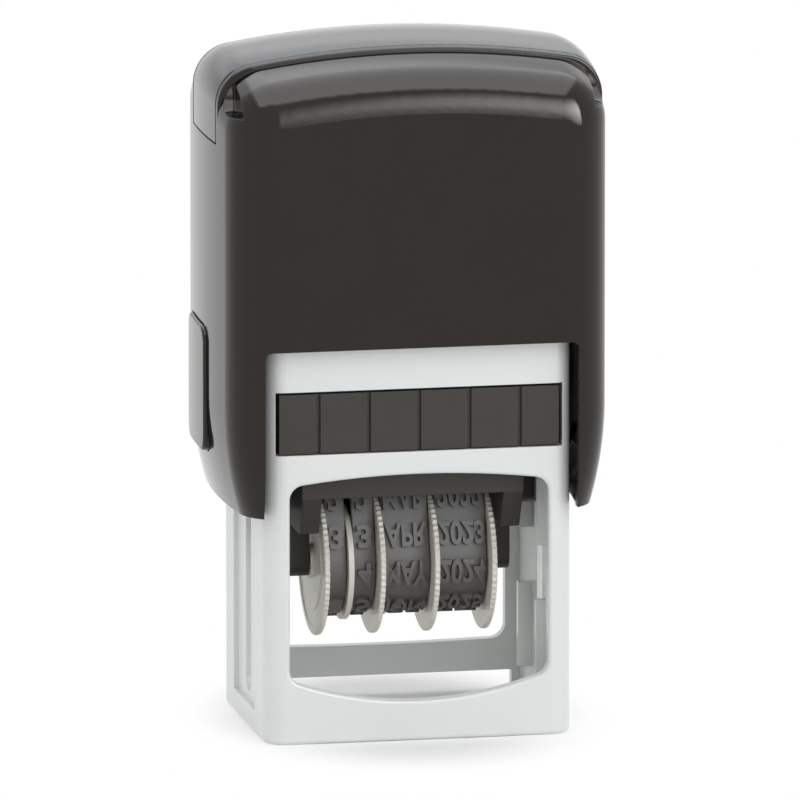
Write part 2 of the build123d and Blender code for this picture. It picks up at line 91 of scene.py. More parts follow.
# %% Small helpers for materials
def linear(hex_colour):
    """An sRGB hex colour as the four linear values that a shader takes."""
    channels = [int(hex_colour[place:place + 2], 16) / 255 for place in (0, 2, 4)]
    return [c / 12.92 if c <= 0.04045 else ((c + 0.055) / 1.055) ** 2.4 for c in channels] + [1.0]


def add_node(tree, kind, settings=(), links=()):
    """Adds one node. Settings are options or socket values, and links say what feeds which input."""
    node = tree.nodes.new("ShaderNode" + kind)
    for name, value in dict(settings).items():
        if isinstance(name, int) or name in node.inputs:
            node.inputs[name].default_value = value
        else:
            setattr(node, name, value)
    for name, source in dict(links).items():
        tree.links.new(source, node.inputs[name])
    return node


def start_material(name):
    """A new material with an empty tree, and the object coordinates that its patterns are measured in."""
    material = bpy.data.materials.new(name)
    material.use_nodes = True
    tree = material.node_tree
    tree.nodes.clear()
    return material, tree, add_node(tree, "TexCoord").outputs["Object"]


def repeats(size):
    """The texture scale at which a pattern repeats once in a real size."""
    return 1 / size


def lumps(tree, place, size, detail, roughness=0.5):
    """The value of a noise texture whose lumps have a real size. Detail adds finer ones in them."""
    settings = {"Scale": repeats(size), "Detail": detail, "Roughness": roughness}
    return add_node(tree, "TexNoise", settings, {"Vector": place}).outputs[0]


# A Mix node has sockets for every kind of value. These are the numbers of the ones for colours.
COLOUR_A, COLOUR_B, MIXED = 6, 7, 2


def blend(tree, first, second, share):
    """The colour between two that a value from 0 to 1 picks."""
    settings = {"data_type": "RGBA", COLOUR_A: linear(first), COLOUR_B: linear(second)}
    return add_node(tree, "Mix", settings, {0: share}).outputs[MIXED]


finishes = {}


def finish_slot(slot, material, settings, links):
    """Ends a material with its shader, and makes it the finish of a slot."""
    tree = material.node_tree
    shader = add_node(tree, "BsdfPrincipled", settings, links)
    add_node(tree, "OutputMaterial", (), {"Surface": shader.outputs[0]})
    finishes[slot] = material
    return shader


print("a light grey in linear light:", [round(c, 3) for c in linear("DEE1DF")[:3]])

# %% [markdown]
# ## Polished black ABS
#
# The cap and its lock buttons are injection moulded from ABS in a mould that is polished like a mirror.
# The plastic is almost black in itself, and nearly all that the eye gets is the room in its surface:
# little of it straight on, and more and more at a flat angle. ABS has an index of about 1.53. The pigment
# warms the straight reflection a little. Cooling leaves a very slight waviness, drawn as a bump some
# millimetres long, and handling leaves faint smears, which change the roughness. Polishing takes the
# sharpness off each edge, so a bevel node rounds them by a quarter of a millimetre in the light.

# %% Polished black ABS
SMEAR_SIZE = 9 * MM
WAVE_SIZE = 6 * MM
POLISHED_EDGE = 0.25 * MM
black_abs, tree, place = start_material("polished_black_abs")
smears = lumps(tree, place, SMEAR_SIZE, detail=4.0, roughness=0.6)
sheen = add_node(
    tree, "MapRange", {"From Min": 0.35, "From Max": 0.7, "To Min": 0.06, "To Max": 0.12}, {"Value": smears}
)
tint = blend(tree, "090807", "0E0C0B", smears)
waves = lumps(tree, place, WAVE_SIZE, detail=1.0)
edges = add_node(tree, "Bevel", {"samples": 6, "Radius": POLISHED_EDGE})
relief = add_node(
    tree, "Bump", {"Strength": 0.25, "Distance": 0.01 * MM}, {"Height": waves, "Normal": edges.outputs[0]}
)
shader = finish_slot(
    "black_gloss",
    black_abs,
    {"IOR": 1.53, "Specular Tint": linear("E3D9D1")},
    {"Base Color": tint, "Roughness": sheen.outputs[0], "Normal": relief.outputs[0]},
)
print(black_abs.name, "index:", shader.inputs["IOR"].default_value)

# %% [markdown]
# ## Satin grey ABS
#
# The frame is the same plastic in a light grey, from a mould that was spark eroded to a fine matt skin.
# The skin is a grain of about a quarter of a millimetre, and it spreads the light, so that flat walls
# look even and only the edges shine. No moulded edge is perfectly sharp: a bevel node rounds each one by
# 0.15 mm in the light alone, which costs no geometry and catches the thin bright lines that the real
# edges have.

# %% Satin grey ABS
GREY_GRAIN = 0.25 * MM
CLOUD_SIZE = 14 * MM
MOULDED_EDGE = 0.15 * MM
grey_abs, tree, place = start_material("satin_grey_abs")
grain = lumps(tree, place, GREY_GRAIN, detail=2.0)
clouds = lumps(tree, place, CLOUD_SIZE, detail=3.0)
tint = blend(tree, "DADEDC", "E1E4E2", clouds)
sheen = add_node(tree, "MapRange", {"To Min": 0.26, "To Max": 0.38}, {"Value": clouds})
edges = add_node(tree, "Bevel", {"samples": 6, "Radius": MOULDED_EDGE})
relief = add_node(
    tree, "Bump", {"Strength": 0.12, "Distance": 0.02 * MM}, {"Height": grain, "Normal": edges.outputs[0]}
)
finish_slot(
    "grey_plastic",
    grey_abs,
    {"IOR": 1.53},
    {"Base Color": tint, "Roughness": sheen.outputs[0], "Normal": relief.outputs[0]},
)
print(grey_abs.name, "grain in mm:", round(GREY_GRAIN / MM, 2))

# %% [markdown]
# ## Smoked polystyrene
#
# The strap over the top is moulded from clear polystyrene with a smoke tint. It is a true transparent
# body with an index of 1.59, so it reflects a little more than the cap under it, and the light that
# enters comes back dark, because it crosses the tint twice and meets the black cap between. Hairline
# scratches from years in a drawer dull the polish in places. They run across the strap, so one noise is
# stretched that way.

# %% Smoked polystyrene
SCRATCH_SPACING = 0.3 * MM
SCRATCH_STRETCH = (1.0, 0.06, 1.0)
smoked, tree, place = start_material("smoked_polystyrene")
stretched = add_node(tree, "Mapping", {"Scale": SCRATCH_STRETCH}, {"Vector": place})
hairlines = lumps(tree, stretched.outputs[0], SCRATCH_SPACING, detail=3.0)
sheen = add_node(
    tree,
    "MapRange",
    {"From Min": 0.55, "From Max": 0.75, "To Min": 0.03, "To Max": 0.12},
    {"Value": hairlines},
)
relief = add_node(tree, "Bump", {"Strength": 0.1, "Distance": 0.005 * MM}, {"Height": hairlines})
shader = finish_slot(
    "clear_plastic",
    smoked,
    {"IOR": 1.59, "Base Color": linear("34312F"), "Transmission Weight": 1.0},
    {"Roughness": sheen.outputs[0], "Normal": relief.outputs[0]},
)
print(smoked.name, "index:", round(shader.inputs["IOR"].default_value, 2))

# %% [markdown]
# ## Matt black ABS
#
# The pad drawer, the holder, its two dogs, the bands' guide bar and the yoke are black ABS from an etched
# mould. The etching is a pebble grain of about a third of a millimetre. It makes the reflection wide and
# dull, so these parts look charcoal beside the polished cap, although the plastic is the same.

# %% Matt black ABS
PEBBLE_SIZE = 0.35 * MM
DUST_PATCH = 5 * MM
ETCHED_EDGE = 0.12 * MM
matt_abs, tree, place = start_material("etched_black_abs")
pebbles = add_node(
    tree, "TexVoronoi", {"Scale": repeats(PEBBLE_SIZE), "feature": "SMOOTH_F1"}, {"Vector": place}
)
dust = lumps(tree, place, DUST_PATCH, detail=4.0)
tint = blend(tree, "272524", "302D2C", dust)
edges = add_node(tree, "Bevel", {"samples": 4, "Radius": ETCHED_EDGE})
relief = add_node(
    tree,
    "Bump",
    {"Strength": 0.3, "Distance": 0.03 * MM},
    {"Height": pebbles.outputs[0], "Normal": edges.outputs[0]},
)
sheen = add_node(tree, "MapRange", {"To Min": 0.38, "To Max": 0.5}, {"Value": dust})
finish_slot(
    "dark_plastic",
    matt_abs,
    {"IOR": 1.53, "Specular Tint": linear("D8CEC4")},
    {"Base Color": tint, "Roughness": sheen.outputs[0], "Normal": relief.outputs[0]},
)
print(matt_abs.name, "grain in mm:", round(PEBBLE_SIZE / MM, 2))

# %% [markdown]
# ## Natural acetal
#
# The finger wheels and the thin disc between the day bands are acetal without pigment, a slippery plastic
# for parts that turn. It is milky: light goes in for a millimetre and comes out again, so thin rims glow,
# and the surface has a soft waxy shine.

# %% Natural acetal
FLOW_PATCH = 3 * MM
ACETAL_GRAIN = 0.2 * MM
LIGHT_DEPTH = 1.0 * MM
acetal, tree, place = start_material("natural_acetal")
flow = lumps(tree, place, FLOW_PATCH, detail=3.0)
tint = blend(tree, "CFCBC1", "DAD6CD", flow)
sheen = add_node(tree, "MapRange", {"To Min": 0.25, "To Max": 0.4}, {"Value": flow})
grain = lumps(tree, place, ACETAL_GRAIN, detail=2.0)
relief = add_node(tree, "Bump", {"Strength": 0.1, "Distance": 0.01 * MM}, {"Height": grain})
finish_slot(
    "pale_plastic",
    acetal,
    {
        "IOR": 1.48,
        "Subsurface Weight": 0.35,
        "Subsurface Radius": (1.0, 0.9, 0.8),
        "Subsurface Scale": LIGHT_DEPTH,
    },
    {"Base Color": tint, "Roughness": sheen.outputs[0], "Normal": relief.outputs[0]},
)
print(acetal.name, "light goes in for mm:", round(LIGHT_DEPTH / MM, 1))

# %% [markdown]
# ## Two rubbers
#
# The date bands are vulcanised in a hot steel mould, which leaves a dry charcoal skin with a dusty bloom.
# The text plate is engraved from a sheet: its floor is rough where the beam took the rubber away, and the
# raised printing faces are smooth and stained by ink. Rubber has an index of about 1.52. The height that
# parts floor from face in the mesh also tells the shader where the stain is: on the faces, fading out
# down their sides.

# %% Vulcanised band rubber
BLOOM_PATCH = 1.5 * MM
BAND_GRAIN = 0.15 * MM
band_rubber, tree, place = start_material("vulcanised_rubber")
bloom = lumps(tree, place, BLOOM_PATCH, detail=5.0, roughness=0.65)
tint = blend(tree, "474441", "615E5A", bloom)
grain = lumps(tree, place, BAND_GRAIN, detail=3.0)
relief = add_node(tree, "Bump", {"Strength": 0.3, "Distance": 0.02 * MM}, {"Height": grain})
sheen = add_node(tree, "MapRange", {"To Min": 0.42, "To Max": 0.62}, {"Value": bloom})
finish_slot(
    "band_rubber",
    band_rubber,
    {"IOR": 1.52},
    {"Base Color": tint, "Roughness": sheen.outputs[0], "Normal": relief.outputs[0]},
)
print(band_rubber.name, "bloom patches in mm:", round(BLOOM_PATCH / MM, 1))

# %% Engraved plate rubber
STAIN_DEPTH = 0.25 * MM
BURN_GRAIN = 0.12 * MM
plate_low, plate_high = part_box("text_plate")
plate_rubber, tree, place = start_material("engraved_rubber")
height = add_node(tree, "SeparateXYZ", (), {0: place})
stain_low, stain_high = plate_high.z - 2 * STAIN_DEPTH, plate_high.z - STAIN_DEPTH
inked = add_node(
    tree, "MapRange", {"From Min": stain_low, "From Max": stain_high}, {"Value": height.outputs["Z"]}
)
tint = blend(tree, "7A6E6A", "2A2830", inked.outputs[0])
burn = lumps(tree, place, BURN_GRAIN, detail=3.0)
sheen = add_node(tree, "MapRange", {"To Min": 0.75, "To Max": 0.35}, {"Value": inked.outputs[0]})
relief = add_node(tree, "Bump", {"Strength": 0.35, "Distance": 0.03 * MM}, {"Height": burn})
finish_slot(
    "plate_rubber",
    plate_rubber,
    {"IOR": 1.52},
    {"Base Color": tint, "Roughness": sheen.outputs[0], "Normal": relief.outputs[0]},
)
print(plate_rubber.name, "stained above mm:", round(stain_low / MM, 2))

# %% [markdown]
# ## Inked felt
#
# The pad is pressed wool felt, soaked with a blue-black ink. The fibres are a few hundredths of a
# millimetre thick, far too fine to show, so they are drawn as tufts of 0.3 mm. Sheen gives the soft light
# rim of the fibre ends, and the wet ink between them keeps a little shine.

# %% Inked felt
TUFT_SIZE = 0.3 * MM
INK_POOL = 7 * MM
felt, tree, place = start_material("inked_felt")
tufts = lumps(tree, place, TUFT_SIZE, detail=6.0, roughness=0.7)
pools = lumps(tree, place, INK_POOL, detail=2.0)
tint = blend(tree, "15141D", "22212C", tufts)
sheen = add_node(tree, "MapRange", {"To Min": 0.95, "To Max": 0.6}, {"Value": pools})
relief = add_node(tree, "Bump", {"Strength": 0.8, "Distance": 0.1 * MM}, {"Height": tufts})
finish_slot(
    "ink_felt",
    felt,
    {"IOR": 1.4, "Sheen Weight": 0.25, "Sheen Roughness": 0.5},
    {"Base Color": tint, "Roughness": sheen.outputs[0], "Normal": relief.outputs[0]},
)
print(felt.name, "tufts in mm:", round(TUFT_SIZE / MM, 1))

# %% [markdown]
# ## Turned steel and spring wire
#
# The axle and the two stub pins are free-cutting steel, turned on a lathe. The tool leaves fine rings
# across the shaft, drawn 0.39 mm apart so that they show, and they stretch each highlight along it. The
# spring is drawn from carbon steel wire: the drawing die leaves fine streaks, and tempering leaves a thin
# grey-brown skin. Both are metals, so they keep the default index and take all their colour from the
# reflection. Blender's wave texture repeats 20 times in two pi units, and the rings' spacing is that
# period divided by the texture's scale.

# %% Turned steel
WAVE_PERIOD = 2 * math.pi / 20
RING_SCALE = repeats(0.4 * math.pi * MM)
turned_steel, tree, place = start_material("turned_steel")
rings = add_node(
    tree, "TexWave", {"Scale": RING_SCALE, "Distortion": 0.6, "Detail": 2.0}, {"Vector": place}
)
relief = add_node(tree, "Bump", {"Strength": 0.3, "Distance": 0.01 * MM}, {"Height": rings.outputs["Fac"]})
sheen = add_node(tree, "MapRange", {"To Min": 0.18, "To Max": 0.3}, {"Value": rings.outputs["Fac"]})
finish_slot(
    "axle_steel",
    turned_steel,
    {"Base Color": linear("BDBBB8"), "Metallic": 1.0},
    {"Roughness": sheen.outputs[0], "Normal": relief.outputs[0]},
)
print(turned_steel.name, "tool marks in mm:", round(WAVE_PERIOD / RING_SCALE / MM, 2))

# %% Drawn spring wire
SKIN_PATCH = 2 * MM
STREAK_SPACING = 0.1 * MM
spring_wire, tree, place = start_material("drawn_spring_wire")
skin = lumps(tree, place, SKIN_PATCH, detail=4.0)
tint = blend(tree, "7C7872", "A09C96", skin)
sheen = add_node(tree, "MapRange", {"To Min": 0.25, "To Max": 0.42}, {"Value": skin})
streaks = lumps(tree, place, STREAK_SPACING, detail=2.0)
relief = add_node(tree, "Bump", {"Strength": 0.15, "Distance": 0.01 * MM}, {"Height": streaks})
finish_slot(
    "spring_steel",
    spring_wire,
    {"Metallic": 1.0},
    {"Base Color": tint, "Roughness": sheen.outputs[0], "Normal": relief.outputs[0]},
)
print(spring_wire.name, "skin patches in mm:", round(SKIN_PATCH / MM))

# %% [markdown]
# ## Dress the solids
#
# The record of the parts names a finish for each one. The solids' own shapes are right for most parts, so
# they only get their material here. The pieces that are built below take theirs from the same table.

# %% Dress the solids
for part in frame["record"]["subparts"]:
    solid = frame["nodes"][part["node"]]
    solid.data.materials.clear()
    solid.data.materials.append(finishes[part["material_slot"]])
print("finishes:", len(finishes))


# %% [markdown]
# ## From a mesh to a piece
#
# Each piece built here is one mesh. It is shaded smooth, with hard edges kept where two faces meet
# steeply. It moves with one body of the mechanism, and it stands for the plain solid that it replaces.
# Most shapes are made of rings of points that are joined one to the next, and some of several meshes.

# %% Helpers for pieces
def add_piece(name, shape, body, slot, replaced, hard_angle=35):
    """Turns a bmesh into a piece that moves with a body, has a slot's finish and replaces a solid."""
    bmesh.ops.recalc_face_normals(shape, faces=shape.faces)
    mesh = bpy.data.meshes.new(name)
    shape.to_mesh(mesh)
    shape.free()
    mesh.polygons.foreach_set("use_smooth", [True] * len(mesh.polygons))
    mesh.set_sharp_from_angle(angle=math.radians(hard_angle))
    mesh.materials.append(finishes[slot])
    piece = bpy.data.objects.new(name, mesh)
    scene.collection.objects.link(piece)
    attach(piece, body)
    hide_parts(replaced)
    print(name, "faces:", len(mesh.polygons))
    return piece


def close_rings(shape, rings, capped=False):
    """Joins rings of points one to the next with quads, back to the first one or with a cap at each end."""
    loops = [[shape.verts.new(point) for point in ring] for ring in rings]
    pairs = list(zip(loops, loops[1:]))
    if not capped:
        pairs.append((loops[-1], loops[0]))
    for one, other in pairs:
        for place in range(len(one)):
            shape.faces.new((one[place - 1], one[place], other[place], other[place - 1]))
    if capped:
        shape.faces.new(loops[0])
        shape.faces.new(loops[-1])


def join_shape(shape, other):
    """Adds one bmesh to another."""
    mesh = bpy.data.meshes.new("joined")
    other.to_mesh(mesh)
    other.free()
    shape.from_mesh(mesh)
    bpy.data.meshes.remove(mesh)


# %% [markdown]
# ## Finger wheels
#
# Each date band runs over the drum of a wheel, and a fingertip turns the wheel at its thin disc. A disc
# is a lathe shape, so the whole wheel is one outline of places along the axle and radii, turned once
# round. The rim has 72 fine grip grooves. They are made in the same turn: of every four steps of the
# circle one stays out and three are pulled in a little, which gives a groove of true geometry with few
# points. A shallow web in the outer face is how such discs are moulded, to keep them flat as they cool.
# The hub's face stands a hair proud, so that only the hub rubs on its neighbour.

# %% Finger wheels
GRIP_GROOVES = 72
GROOVE_SHAPE = (0.0, 0.6, 1.0, 0.6)
GROOVE_DEPTH = 0.2 * MM
DISC_THICKNESS = 0.7 * MM
BAND_SIDE_GAP = 0.12 * MM
DRUM_RADIUS = 5.85 * MM
DRUM_CHAMFER = 0.25 * MM
HUB_RADIUS = 2.4 * MM
BORE_RADIUS = 1.05 * MM
RIM_BEVEL = 0.12 * MM
WEB_OUTER, WEB_INNER, WEB_DEPTH = 9.0 * MM, 6.5 * MM, 0.12 * MM
HUB_CHAMFER, HUB_PROUD = 0.12 * MM, 0.012 * MM
DISC_SIDES = {"day_tens": -1, "day_units": 1, "month": 1, "year": 1}
axle_low, axle_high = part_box("wheel_axle")
axle_z = (axle_low.z + axle_high.z) / 2


def wheel_outline(name, side):
    """A wheel's outline as places along the axle and radii, from the drum's free end to the outer face."""
    low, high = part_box(name + "_wheel")
    band_low, band_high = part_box(name + "_band")
    radius = (high.z - low.z) / 2
    start, end = (band_low.x, band_high.x) if side > 0 else (band_high.x, band_low.x)
    inner = end + side * BAND_SIDE_GAP
    outer = inner + side * DISC_THICKNESS
    hub_end = max(high.x, outer) if side > 0 else min(low.x, outer)
    return [
        (start, BORE_RADIUS),
        (start, DRUM_RADIUS - DRUM_CHAMFER),
        (start + side * DRUM_CHAMFER, DRUM_RADIUS),
        (inner, DRUM_RADIUS),
        (inner, radius - RIM_BEVEL),
        (inner + side * RIM_BEVEL, radius),
        (outer - side * RIM_BEVEL, radius),
        (outer, radius - RIM_BEVEL),
        (outer, WEB_OUTER),
        (outer - side * WEB_DEPTH, WEB_OUTER - WEB_DEPTH),
        (outer - side * WEB_DEPTH, WEB_INNER + WEB_DEPTH),
        (outer, WEB_INNER),
        (outer, HUB_RADIUS),
        (hub_end + side * HUB_PROUD, HUB_RADIUS - HUB_CHAMFER),
        (hub_end + side * HUB_PROUD, BORE_RADIUS),
    ], radius


def turn_round(outline, grooved_from, steps):
    """Rings of points round the axle, with grip grooves in all that lies beyond a radius."""
    rings = []
    for step in range(steps):
        angle = 2 * math.pi * step / steps
        pull = GROOVE_DEPTH * GROOVE_SHAPE[step % len(GROOVE_SHAPE)]
        ring = []
        for x, radius in outline:
            reach = radius - pull if radius >= grooved_from else radius
            ring.append((x, reach * math.cos(angle), axle_z + reach * math.sin(angle)))
        rings.append(ring)
    return rings


for column, side in DISC_SIDES.items():
    outline, radius = wheel_outline(column, side)
    wheel = bmesh.new()
    close_rings(wheel, turn_round(outline, radius - RIM_BEVEL, GRIP_GROOVES * len(GROOVE_SHAPE)))
    add_piece(column + "_finger_wheel", wheel, column + "_body", "pale_plastic", column + "_wheel")

# %% [markdown]
# ## Date bands
#
# A date band is an endless rubber belt round the drum below and a guide bar above, with room for twelve
# raised figures. The belt's line in Y and Z is what a tight belt makes: one large arc, two small arcs and
# three straight runs. It is stored as points with their outward directions, so that any height above the
# belt is one step along the direction. The figures come from Blender's own font. Each one is cut across
# into thin slices and then wrapped on the belt, so it bends with it. Figures on a stamp are mirror
# images, and their tops point to the front while they lie on the upper run.

# %% The belt's line
BAND_THICKNESS = 0.7 * MM
BELT_RADIUS = 6.2 * MM
GUIDE_CORNER = 0.8 * MM
ARC_STEP = math.radians(6)
_, guide_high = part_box("band_guide")
corner_y, corner_z = guide_high.y - GUIDE_CORNER, guide_high.z - GUIDE_CORNER


def belt_line():
    """Points on the belt's inner face with their outward directions, from the top centre over the front."""
    rise = corner_z - axle_z
    gap = math.hypot(corner_y, rise)
    lean = math.atan2(rise, corner_y) - math.acos((BELT_RADIUS - GUIDE_CORNER) / gap)
    arcs = (
        (-corner_y, corner_z, GUIDE_CORNER, math.pi / 2, math.pi - lean),
        (0, axle_z, BELT_RADIUS, math.pi - lean, 2 * math.pi + lean),
        (corner_y, corner_z, GUIDE_CORNER, lean, math.pi / 2),
    )
    line = [(Vector((0, guide_high.z)), Vector((0, 1)))]
    for y, z, radius, start, end in arcs:
        steps = math.ceil((end - start) / ARC_STEP)
        for step in range(steps + 1):
            angle = start + (end - start) * step / steps
            outward = Vector((math.cos(angle), math.sin(angle)))
            line.append((Vector((y, z)) + radius * outward, outward))
    return line + line[:1]


def walk(line, height):
    """How far along the belt each of its points lies, measured at a height above its inner face."""
    places = [0.0]
    for (one, one_out), (other, other_out) in zip(line, line[1:]):
        places.append(places[-1] + (other + height * other_out - one - height * one_out).length)
    return places


belt = belt_line()
belt_places = walk(belt, BAND_THICKNESS)
belt_length = belt_places[-1]
print("belt points:", len(belt), "length in mm:", round(belt_length / MM, 1))


def on_belt(along, height):
    """The Y and Z of a place along the belt, at a height above its inner face."""
    along %= belt_length
    after = next(place for place in range(1, len(belt)) if belt_places[place] >= along)
    span = belt_places[after] - belt_places[after - 1]
    share = (along - belt_places[after - 1]) / span if span else 0.0
    point = belt[after - 1][0].lerp(belt[after][0], share)
    outward = belt[after - 1][1].lerp(belt[after][1], share).normalized()
    return point + height * outward


# %% Raised figures
FIGURE_HEIGHT = 0.6 * MM
FIGURE_LENGTH = 3.2 * MM
FIGURE_MARGIN = 0.3 * MM
FIGURE_ROOT = 0.1 * MM
SLICE = 0.4 * MM
DIGIT_SHAPE = 0.62  # A digit's width, as a share of its length.
FIGURE_WEIGHT = 0.03  # This and the weld are in the font's own units, before the figure is scaled.
FIGURE_WELD = 0.0005
FIGURE_CURVE_STEPS = 3
MONTHS = ("JAN", "FEB", "MAR", "APR", "MAY", "JUN", "JUL", "AUG", "SEP", "OCT", "NOV", "DEC")
FIRST_YEAR = 2020
band_figures = {
    "day_tens": ["", "1", "2", "3"] * 3,
    "day_units": [str(digit) for digit in range(10)] + ["-", "-"],
    "month": MONTHS,
    "year": [str(FIRST_YEAR + step) for step in range(12)],
}


def flat_figure(text, width):
    """A raised figure lying flat, centred, of the given width and of the figures' length and height."""
    curve = bpy.data.curves.new("figure", "FONT")
    curve.body = text
    curve.extrude = 0.5  # Any thickness does, because the figure is scaled to its real size below.
    curve.offset = FIGURE_WEIGHT
    curve.resolution_u = FIGURE_CURVE_STEPS
    carrier = bpy.data.objects.new("figure", curve)
    scene.collection.objects.link(carrier)
    bpy.context.view_layer.update()
    mesh = bpy.data.meshes.new_from_object(carrier)
    bpy.data.objects.remove(carrier)
    bpy.data.curves.remove(curve)
    shape = bmesh.new()
    shape.from_mesh(mesh)
    bpy.data.meshes.remove(mesh)
    bmesh.ops.remove_doubles(shape, verts=shape.verts, dist=FIGURE_WELD)
    spans = [[vert.co[axis] for vert in shape.verts] for axis in range(3)]
    starts = [min(span) for span in spans]
    sizes = [max(span) - min(span) for span in spans]
    for vert in shape.verts:
        across, up, out = [(vert.co[axis] - starts[axis]) / sizes[axis] for axis in range(3)]
        vert.co = ((across - 0.5) * width, (up - 0.5) * FIGURE_LENGTH, out * (FIGURE_HEIGHT + FIGURE_ROOT))
    return shape


def add_figure(band, text, width, centre, along):
    """Wraps one figure on the belt, at a centre along the axle and a place along the belt."""
    if not text:
        return
    shape = flat_figure(text, width)
    for cut in range(1, int(FIGURE_LENGTH / SLICE)):
        line = (0, cut * SLICE - FIGURE_LENGTH / 2, 0)
        parts = shape.verts[:] + shape.edges[:] + shape.faces[:]
        bmesh.ops.bisect_plane(shape, geom=parts, plane_co=line, plane_no=(0, 1, 0))
    for vert in shape.verts:
        place = on_belt(along + vert.co.y, BAND_THICKNESS - FIGURE_ROOT + vert.co.z)
        vert.co = (centre + vert.co.x, place.x, place.y)
    join_shape(band, shape)


def figure_width(text, room):
    """The width of a figure: short ones keep the shape of a digit, and long ones fill the band."""
    return min(room, len(text) * FIGURE_LENGTH * DIGIT_SHAPE)


# %% Date bands
BAND_BEVEL = 0.12 * MM
for column, figures in band_figures.items():
    low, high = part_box(column + "_band")
    belt_section = (
        (low.x, 0.0),
        (high.x, 0.0),
        (high.x, BAND_THICKNESS - BAND_BEVEL),
        (high.x - BAND_BEVEL, BAND_THICKNESS),
        (low.x + BAND_BEVEL, BAND_THICKNESS),
        (low.x, BAND_THICKNESS - BAND_BEVEL),
    )
    band = bmesh.new()
    rings = []
    for point, outward in belt[:-1]:
        ring = [(x, *(point + height * outward)) for x, height in belt_section]
        rings.append(ring)
    close_rings(band, rings)
    centre = (low.x + high.x) / 2
    room = high.x - low.x - 2 * FIGURE_MARGIN
    for step, text in enumerate(figures):
        add_figure(band, text, figure_width(text, room), centre, step * belt_length / len(figures))
    add_piece(column + "_belt", band, "holder_body", "band_rubber", column + "_band")

# %% [markdown]
# ## Return spring
#
# The spring stands between the frame's deck and the yoke, and it lifts the cap after each print. It is
# one round wire on a helix. At each end a turn lies close against the next, so that the spring stands
# flat. The wire is a ring of points carried along the helix and turned with it.

# %% Return spring
SPRING_WIRE = 0.8 * MM
SPRING_TURNS = 9
CLOSED_PITCH = 0.86 * MM
TURN_STEPS = 32
WIRE_SIDES = 10
spring_low, spring_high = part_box("return_spring")
coil_radius = (spring_high.x - spring_low.x) / 2 - SPRING_WIRE / 2


def coil_height(turns):
    """The height of the wire's middle after a number of turns, with one closed turn at each end."""
    bottom, top = spring_low.z + SPRING_WIRE / 2, spring_high.z - SPRING_WIRE / 2
    if turns <= 1:
        return bottom + turns * CLOSED_PITCH
    if turns >= SPRING_TURNS - 1:
        return top - (SPRING_TURNS - turns) * CLOSED_PITCH
    share = (turns - 1) / (SPRING_TURNS - 2)
    return bottom + CLOSED_PITCH + share * (top - bottom - 2 * CLOSED_PITCH)


rings = []
for step in range(SPRING_TURNS * TURN_STEPS + 1):
    turns = step / TURN_STEPS
    angle = 2 * math.pi * turns
    outward = Vector((math.cos(angle), math.sin(angle), 0))
    middle = coil_radius * outward + Vector((0, 0, coil_height(turns)))
    ring = []
    for side in range(WIRE_SIDES):
        turn = 2 * math.pi * side / WIRE_SIDES
        across = math.cos(turn) * outward + math.sin(turn) * Vector((0, 0, 1))
        ring.append(middle + SPRING_WIRE / 2 * across)
    rings.append(ring)
coil = bmesh.new()
close_rings(coil, rings, capped=True)
spring = add_piece("return_coil", coil, "frame_body", "spring_steel", "return_spring", hard_angle=60)
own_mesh(spring)

# %% [markdown]
# ## Ink pad
#
# The pad is a block of felt that fills its drawer. It is cut from a sheet, so its edges are square, but
# felt is soft: the edges round off, and the face that the plate meets is never quite even. The block is
# made from a box whose edges are rounded, and whose faces are divided finely enough for a gentle
# unevenness of the wool.

# %% Ink pad
PAD_EDGE = 0.5 * MM
PAD_CELL = 0.8 * MM
PAD_UNEVEN = 0.05 * MM
WOOL_CLUMP = 1.25 * MM
pad_low, pad_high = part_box("ink_pad")


def rounded_block(low, high, edge, segments=3):
    """A block between two corners with rounded edges."""
    shape = bmesh.new()
    bmesh.ops.create_cube(shape, size=1.0)
    middle, size = (low + high) / 2, high - low
    for vert in shape.verts:
        vert.co = middle + Vector([vert.co[axis] * size[axis] for axis in range(3)])
    bmesh.ops.bevel(
        shape,
        geom=shape.edges[:],
        offset=edge,
        segments=segments,
        profile=0.5,
        affect="EDGES",
        clamp_overlap=True,
    )
    return shape


pad = rounded_block(pad_low, pad_high, PAD_EDGE)
for axis in (0, 1):
    for cut in range(1, int((pad_high[axis] - pad_low[axis]) / PAD_CELL)):
        line = pad_low.copy()
        line[axis] += cut * PAD_CELL
        facing = Vector((0, 0, 0))
        facing[axis] = 1
        parts = pad.verts[:] + pad.edges[:] + pad.faces[:]
        bmesh.ops.bisect_plane(pad, geom=parts, plane_co=line, plane_no=facing)
for vert in pad.verts:
    lift = PAD_UNEVEN * (1 + noise.noise(vert.co / WOOL_CLUMP))
    vert.co.z += lift if vert.co.z < pad_low.z + PAD_EDGE / 2 else 0
felt_pad = add_piece("felt_ink_pad", pad, "pad_body", "ink_felt", "ink_pad", hard_angle=60)

# %% [markdown]
# ## Text plate
#
# The plate is a thin rubber sheet with a window for the date line. What prints stands half a millimetre
# above the floor: a border, and a bar above and below the date, where a customer's own lines would be.
# Engraving leaves no sharp edges, so the border's upper edges are bevelled and the bars' are rounded.

# %% Text plate
PLATE_BASE = 1.0 * MM
BORDER_INSET = 0.4 * MM
BORDER_WIDTH = 0.6 * MM
BAR_WIDTH = 1.6 * MM
BAR_INSET = 2.4 * MM
WINDOW_HALF_DEPTH = 3.2 * MM
WINDOW_GAP = 0.2 * MM
PLATE_EDGE = 0.08 * MM
window_half_width = guide_high.x + WINDOW_GAP


